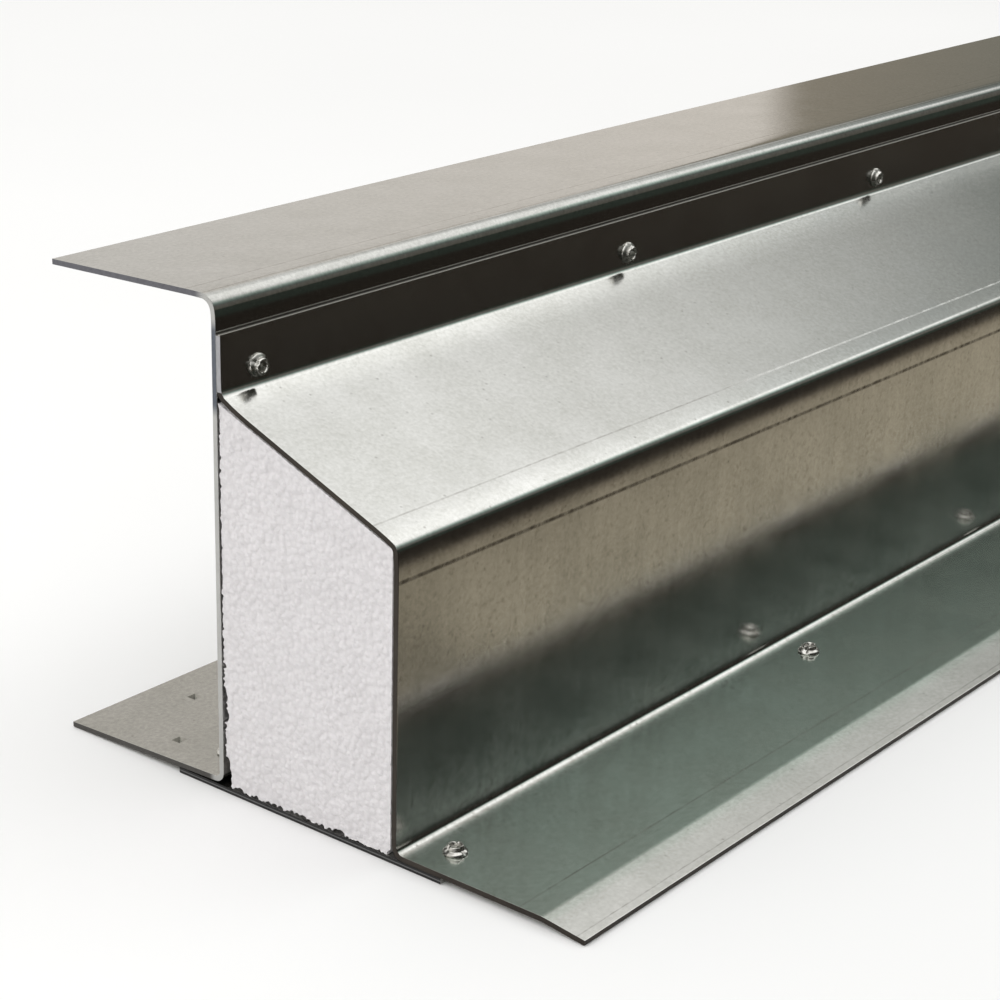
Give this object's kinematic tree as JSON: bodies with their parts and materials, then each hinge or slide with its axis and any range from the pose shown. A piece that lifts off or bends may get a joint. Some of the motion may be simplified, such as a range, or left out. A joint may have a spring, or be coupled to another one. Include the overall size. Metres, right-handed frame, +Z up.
{
  "type": "cavity wall lintel",
  "caption": "Galvanised steel lintel for a cavity wall: back channel, sloped front plate with outer flange and drip lip, flat soffit strip and a foam core in the box.",
  "frame": {"origin": "on the floor, under the middle of the lintel's box", "axes": "+X along the lintel, +Y to the inner leaf of the wall, +Z up"},
  "size_m": [1.05, 0.2894, 0.2189],
  "materials": {
    "galvanised_sheet": "bright zinc coating with faint mottling, rolled and bent",
    "bead_foam": "white expanded bead foam with a rough cut end",
    "rivet_steel": "zinc plated"
  },
  "bodies": {
    "root": {"back_channel": "galvanised_sheet", "front_plate": "galvanised_sheet", "soffit_strip": "galvanised_sheet", "foam_core": "bead_foam", "upstand_rivet_1": "rivet_steel", "upstand_rivet_2": "rivet_steel", "upstand_rivet_3": "rivet_steel", "upstand_rivet_4": "rivet_steel", "upstand_rivet_5": "rivet_steel", "outer_rivet_1": "rivet_steel", "outer_rivet_2": "rivet_steel", "outer_rivet_3": "rivet_steel", "outer_rivet_4": "rivet_steel", "outer_rivet_5": "rivet_steel", "inner_rivet_1": "rivet_steel", "inner_rivet_2": "rivet_steel", "inner_rivet_3": "rivet_steel", "inner_rivet_4": "rivet_steel", "inner_rivet_5": "rivet_steel"}
  },
  "joints": []
}
